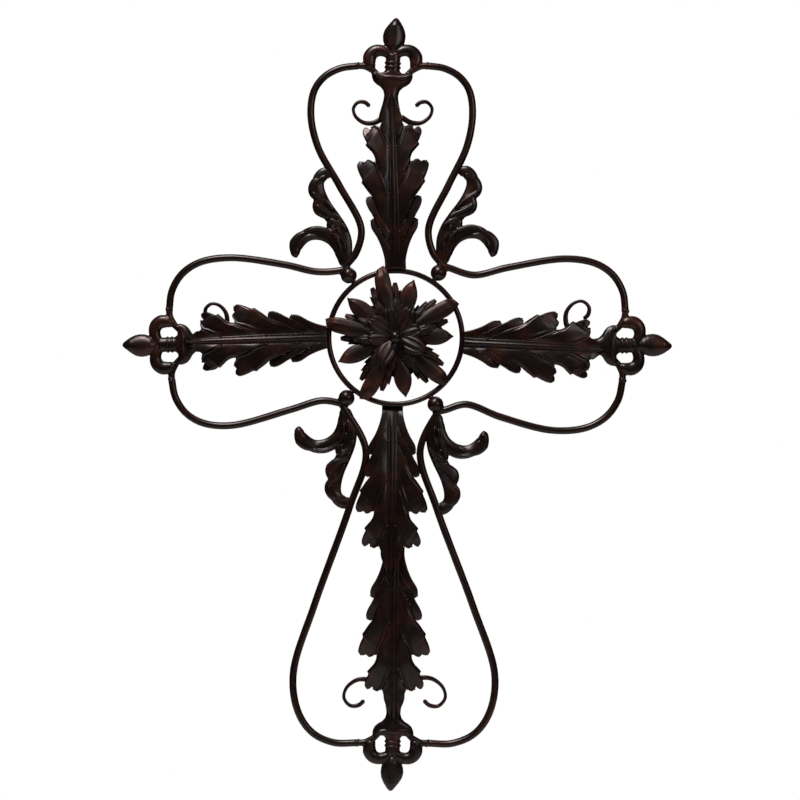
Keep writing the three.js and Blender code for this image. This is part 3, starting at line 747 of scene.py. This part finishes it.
# Rounded rib along the leaf, with a low fold on each side of it
def ribForm(spec):
    def pointAt(u, v):
        along = u * leaf["length"]
        edge = between(leaf["strip"], along)
        out = (2 * v - 1) * edge
        rib = min(leaf["rib"], edge * 0.62)
        lift = leafLift(spec, along, out)
        if abs(out) < rib:
            lift += leaf["ribHeight"] * math.sqrt(1 - (out / rib) ** 2) * ease(6, 34, along)
        else:
            share = min(1, (abs(out) - rib) / max(0.1, edge - rib))
            lift += 0.4 * max(0, math.sin(math.pi * share)) * ease(6, 34, along)
        lift -= leaf["sink"]
        return Vector((out, -lift, leafRise(spec, along)))

    return sheetPatch(90, 29, pointAt)


def makeLeaf(name, spec):
    forms = [ribForm(spec)]
    for side in (-1, 1):
        forms += [lobeForm(spec, number, side) for number in range(len(leaf["lobes"]))]
        for crease in leaf["creases"][1:]:
            along, out = crease[0]
            dot = ballForm(leaf["dot"], 0, 0, 2)
            lift = leafLift(spec, along, out) - leaf["sink"] / 2
            forms.append(placed(dot, Matrix.Translation((side * out, -lift, leafRise(spec, along)))))
    form = joined(forms)
    if spec["trim"]:
        whole = list(form.verts) + list(form.edges) + list(form.faces)
        bmesh.ops.bisect_plane(form, geom=whole, plane_co=(0, 0, 0), plane_no=(0, 0, -1), clear_outer=True)
    base, tip = spec["shift"]
    lean = Matrix.Rotation(-math.atan((tip - base) / (leaf["length"] - spec["trim"])), 4, "Y")
    place = armPlace(arms[spec["arm"]]["angle"]) @ Matrix.Translation((-base, 0, spec["start"])) @ lean
    piece = finishPiece(name + "_pressed", placed(form, place), leafPaint, name)
    return thicken(piece, leaf["sheet"])


for name, spec in leaves.items():
    makeLeaf(name, spec)
print("leaves made")

# Rose. Turns are listed. Lift is how far a petal stands before the bars at the hub and at its tip, and
# rise adds to that at one leaf's tip. Half is half its width, and spread turns a pair of leaves apart.
rose = {
    "hub": 12,
    "sheet": 1.2,
    "button": 14.4,
    "buttonFront": 27,
    "long": {"turns": [103, 168.5, 243, 318, 390.5], "reach": [86, 85.5, 84, 82, 85], "half": 9.6,
             "lift": (9.4, 6.4)},
    "short": {"turns": [71.6, 141, 203, 280, 361.5], "reach": [73, 75, 75, 73, 70], "half": 10.4,
              "lift": (6.4, 5.6)},
    "back": {"turns": [103, 168.5, 243, 318, 390.5], "spread": 12.5, "reach": 65, "half": 12, "teeth": 6,
             "fold": -1.5, "lift": (3.4, 3)},
    "middle": {"turns": [103, 168.5, 243, 318, 390.5], "spread": 15, "reach": 49, "half": 8.5, "teeth": 4,
               "fold": -1.6, "lift": (12, 12.4)},
    "inner": {"turns": [61.6, 103, 143.7, 180, 241, 334.5, 20], "reach": [44, 40, 42, 37, 42, 44, 35],
              "rise": [0, -3, -1, -3, 1, 1, -3], "half": 11.8, "lift": (12, 17.5)},
}


# Petal with a keel and one fold beside it, its end pointed or squared
def petalForm(reach, half, lift, squared, seed):
    def pointAt(u, v):
        across = 2 * v - 1
        radius = mix(rose["hub"] * 0.4, reach, u)
        swell = mix(0.42, 1, ease(0.1, 0.62, u))
        end = 0.55 if squared else 0.98
        taper = 1 - end * max(0, (u - 0.66) / 0.34) ** (3.2 if squared else 1.7)
        width = half * swell * max(0.03, taper)
        corner = 1.6 * across if squared else 0
        keel = 2.7 * (1 - abs(across) ** 2.4) * mix(0.5, 1, ease(0, 0.4, u)) * mix(1, 0.65, ease(0.85, 1, u))
        keel += 0.7 * max(0, 1 - abs(3.5 * across - 0.6)) * ease(0.4, 0.8, u)
        curl = (3.4 if squared else 2.2) * ease(0.82, 1, u) ** 1.3
        height = mix(lift[0], lift[1], u) + keel - curl + 1.6 * math.sin(math.pi * u)
        uneven = 0.7 * noise.noise(Vector((radius * 0.05, across, seed)))
        lean = 1.8 * u * noise.noise(Vector((seed, radius * 0.03, 3)))
        return Vector((across * width + lean, -height - uneven, radius + (corner - 1.6) * ease(0.8, 1, u)))

    return sheetPatch(41, 17, pointAt)


# Serrated leaf with long flutes. Fold raises its edges, or drops them when it is negative.
def serratedForm(spec, seed):
    def pointAt(u, v):
        across = 2 * v - 1
        side = abs(across)
        radius = mix(rose["hub"] * 0.3, spec["reach"], u)
        saw = (u * spec["teeth"]) % 1
        toothed = ease(0.2, 0.4, u) * (1 - ease(0.97, 1, u))
        width = spec["half"] * max(0.05, math.sin(math.pi * (0.16 + 0.83 * u ** 1.1))) ** 0.8
        width *= 1 - 0.3 * (1 - saw) * toothed
        folds = 0.9 * abs(math.cos(2 * math.pi * side)) * ease(0.05, 0.3, u) * (1 - 0.4 * u)
        height = mix(spec["lift"][0], spec["lift"][1], ease(0, 0.8, u)) + spec["fold"] * side ** 1.3 + folds
        height -= 3 * ease(0.75, 1, u)
        uneven = 1.2 * noise.noise(Vector((radius * 0.06, across * 0.8, seed)))
        point = 3 * saw ** 2 * side ** 3 * toothed
        return Vector((width * across, -height - uneven, radius + point))

    return sheetPatch(spec["teeth"] * 10 + 1, 21, pointAt)


# Pointed leaf with long round folds that rises from the hub and turns its tip over
def hoodForm(reach, rise, spec, seed):
    def pointAt(u, v):
        across = 2 * v - 1
        folds = abs(math.cos(1.5 * math.pi * across))
        width = spec["half"] * max(0.04, math.sin(math.pi * (0.13 + 0.85 * u ** 0.9))) ** 0.7
        radius = mix(rose["hub"] * 0.3, reach, u) - 2 * (1 - folds) * ease(0.6, 1, u)
        height = mix(spec["lift"][0], spec["lift"][1] + rise, ease(0, 0.75, u)) - 3 * across ** 2
        height += 1.6 * folds * ease(0.05, 0.35, u) * (1 - 0.5 * ease(0.8, 1, u))
        height -= 4.5 * ease(0.72, 1, u) ** 1.5
        uneven = 1.2 * noise.noise(Vector((radius * 0.05, across * 0.7, seed)))
        return Vector((width * across, -height - uneven, radius))

    return sheetPatch(41, 37, pointAt)


def turnedTo(form, turn):
    return placed(form, Matrix.Rotation(math.radians(90 - turn), 4, "Y"))


def makeRose():
    layers = {}
    for kind in ("long", "short"):
        spec = rose[kind]
        layers[kind] = [turnedTo(petalForm(reach, spec["half"], spec["lift"], kind == "long", turn), turn)
                        for turn, reach in zip(spec["turns"], spec["reach"])]
    for kind in ("back", "middle"):
        spec = rose[kind]
        layers[kind] = [turnedTo(serratedForm(spec, turn + side), turn + side * spec["spread"])
                        for turn in spec["turns"] for side in (-1, 1)]
    inner = rose["inner"]
    layers["inner"] = layers["middle"] + [
        turnedTo(hoodForm(reach, rise, inner, turn), turn)
        for turn, reach, rise in zip(inner["turns"], inner["reach"], inner["rise"])]
    nodes = {"back": "rose_back_leaves", "short": "rose_short_petals", "long": "rose_long_petals",
             "inner": "rose_inner_leaves"}
    for kind, node in nodes.items():
        form = placed(joined(layers[kind]), Matrix.Translation(ringMiddle))
        piece = finishPiece(node + "_pressed", form, petalPaint, node)
        thicken(piece, rose["sheet"])
    middle = ringMiddle - Vector((0, rose["buttonFront"] - rose["button"] / 2, 0))
    button = placed(ballForm(rose["button"], 0.02, 1), Matrix.Translation(middle))
    finishPiece("rose_button_round", button, ballPaint, "rose_button")


makeRose()
print("rose made")

# The hanger keeps its solid and takes the bars' paint
hangerSolid = next(obj for obj in bpy.data.objects if obj.name == "hanger")
for holder in hangerSolid.material_slots:
    holder.material = barPaint

# Camera: level, straight on, at the photograph's scale of 1.181 mm to a pixel in the plane of the bars
view = {"lens": 85, "sensor": 36, "frameWidth": 945, "aimX": 5.3, "aimZ": -241.8}
cameraData = bpy.data.cameras.new("camera")
cameraData.lens = view["lens"]
cameraData.sensor_width = view["sensor"]
camera = bpy.data.objects.new("camera", cameraData)
distance = view["frameWidth"] * view["lens"] / view["sensor"]
camera.location = Vector((view["aimX"], -standOff - distance, view["aimZ"])) * mmToM
camera.rotation_euler = (math.pi / 2, 0, 0)
bpy.context.scene.collection.objects.link(camera)
bpy.context.scene.camera = camera

# Large soft lamps, placed in metres and turned to the rose
studio = {
    "key": {"at": (-0.5, -1.15, 1.9), "size": 0.8, "power": 44},
    "fill": {"at": (1.5, -1.9, 0.5), "size": 0.7, "power": 6},
    "back": {"at": (0.3, 1.6, 1.2), "size": 1.4, "power": 8},
}
for name, spec in studio.items():
    lamp = bpy.data.lights.new(name, "AREA")
    lamp.size = spec["size"]
    lamp.energy = spec["power"]
    lampObject = bpy.data.objects.new(name, lamp)
    lampObject.location = spec["at"]
    towards = ringMiddle * mmToM - lampObject.location
    lampObject.rotation_euler = towards.to_track_quat("-Z", "Y").to_euler()
    bpy.context.scene.collection.objects.link(lampObject)

# White behind the cross, and nearly dark around it, so that the lamps alone shape the iron
world = bpy.data.worlds.new("studio")
world.use_nodes = True
bpy.context.scene.world = world
tree = world.node_tree
tree.nodes.clear()
path = addNode(tree, "ShaderNodeLightPath")
white = addNode(tree, "ShaderNodeBackground", {"Color": (1, 1, 1, 1), "Strength": 1.0})
dim = addNode(tree, "ShaderNodeBackground", {"Color": (0.97, 0.92, 1, 1), "Strength": 0.02})
shown = addNode(tree, "ShaderNodeMixShader")
tree.links.new(path.outputs["Is Camera Ray"], shown.inputs["Fac"])
tree.links.new(dim.outputs[0], shown.inputs[1])
tree.links.new(white.outputs[0], shown.inputs[2])
addNode(tree, "ShaderNodeOutputWorld", {}, {"Surface": shown.outputs[0]})
bpy.context.scene.view_settings.view_transform = "Standard"

# Floor in matt white paint, pale and without shine, under the cross
floorForm = bmesh.new()
bmesh.ops.create_circle(floorForm, cap_ends=True, segments=64, radius=1.3)
bmesh.ops.translate(floorForm, vec=(0, 0, -1), verts=floorForm.verts)
floorMesh = bpy.data.meshes.new("floor")
floorForm.to_mesh(floorMesh)
floorForm.free()
matt = bpy.data.materials.new("matt white paint")
matt.use_nodes = True
matt.node_tree.nodes["Principled BSDF"].inputs["Base Color"].default_value = linear("#f2f2f0")
matt.node_tree.nodes["Principled BSDF"].inputs["Roughness"].default_value = 0.9
floorMesh.materials.append(matt)
floor = bpy.data.objects.new("floor", floorMesh)
bpy.context.scene.collection.objects.link(floor)
print("camera, lights and floor made")
